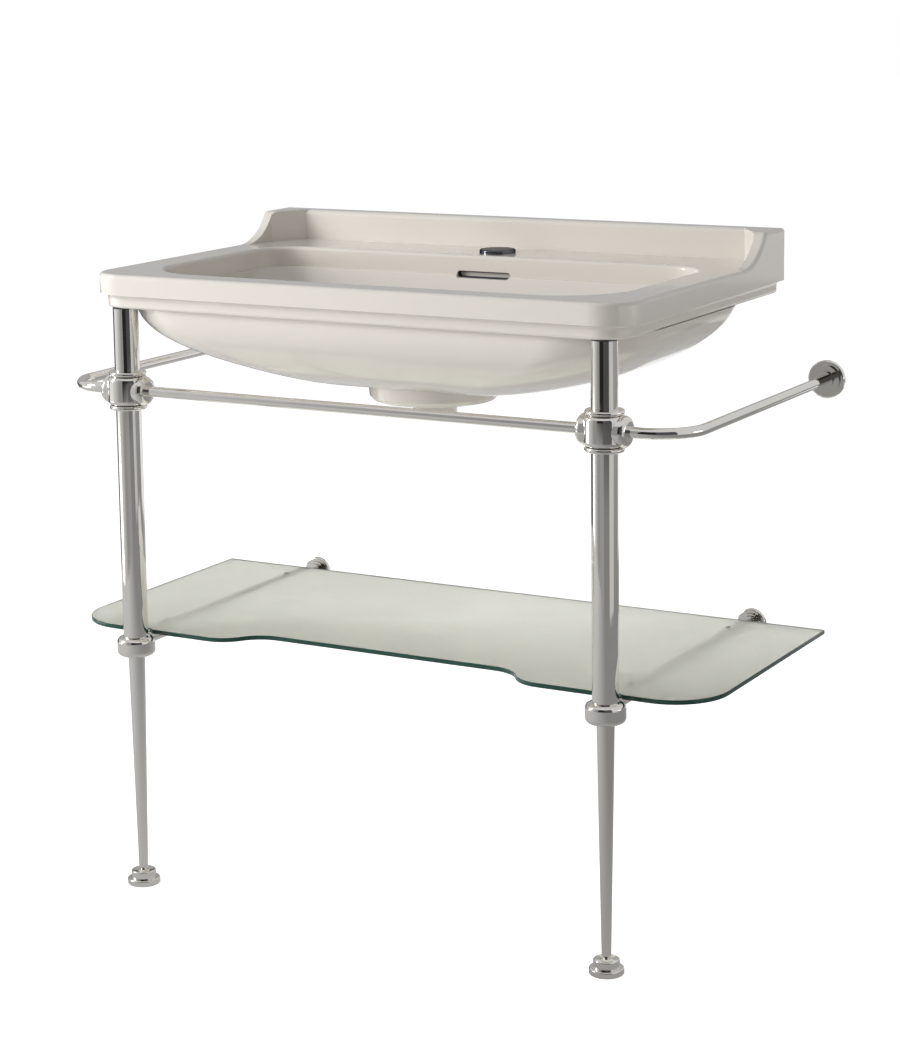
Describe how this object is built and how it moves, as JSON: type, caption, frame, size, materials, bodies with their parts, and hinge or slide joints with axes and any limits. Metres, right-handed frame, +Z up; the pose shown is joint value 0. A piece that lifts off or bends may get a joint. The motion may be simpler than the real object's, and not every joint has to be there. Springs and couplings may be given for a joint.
{
  "type": "console washbasin",
  "caption": "Wall-hung console washbasin with a raised back ledge, on two tapered front legs, with a towel rail round the legs and a glass shelf below.",
  "frame": {"origin": "on the floor, in the middle of the footprint of the whole object, which lies between the wall plane and the front of the rim", "axes": "+Z up, +Y towards the wall, +X to the right as seen from the front"},
  "size_m": [0.98, 0.505, 0.9],
  "materials": {
    "ceramic": "glazed white ceramic",
    "chrome": "polished chrome on brass",
    "steel": "plain stainless steel",
    "brass": "plain turned brass",
    "rubber": "black rubber",
    "clear_bumper": "clear soft plastic",
    "frosted_glass": "satin etched glass with polished green edges"
  },
  "bodies": {
    "console": {"basin": "ceramic", "overflow_trim": "chrome", "tap_hole_cover": "chrome", "tap_hole_washer": "rubber", "tap_hole_nut": "brass", "towel_rail": "chrome", "left_upper_leg": "chrome", "left_leg_pad": "rubber", "left_rail_collar": "chrome", "left_shelf_collar": "chrome", "left_lower_leg": "chrome", "left_rail_wall_plug": "steel", "left_rail_flange": "chrome", "left_shelf_arm": "chrome", "left_arm_wall_plug": "steel", "left_arm_rosette": "chrome", "right_upper_leg": "chrome", "right_leg_pad": "rubber", "right_rail_collar": "chrome", "right_shelf_collar": "chrome", "right_lower_leg": "chrome", "right_rail_wall_plug": "steel", "right_rail_flange": "chrome", "right_shelf_arm": "chrome", "right_arm_wall_plug": "steel", "right_arm_rosette": "chrome", "shelf_bumpers": "clear_bumper", "collar_grub_screws": "steel"},
    "left_levelling_foot": {"left_foot": "chrome"},
    "right_levelling_foot": {"right_foot": "chrome"},
    "shelf": {"glass_shelf": "frosted_glass"}
  },
  "joints": [
    {"name": "left_foot_screw", "type": "slide", "parent": "console", "child": "left_levelling_foot", "axis": [0, 0, -1], "range_m": [-0.002, 0.012]},
    {"name": "right_foot_screw", "type": "slide", "parent": "console", "child": "right_levelling_foot", "axis": [0, 0, -1], "range_m": [-0.002, 0.012]},
    {"name": "shelf_lift", "type": "slide", "parent": "console", "child": "shelf", "axis": [0, 0, 1], "range_m": [0, 0.06]}
  ]
}
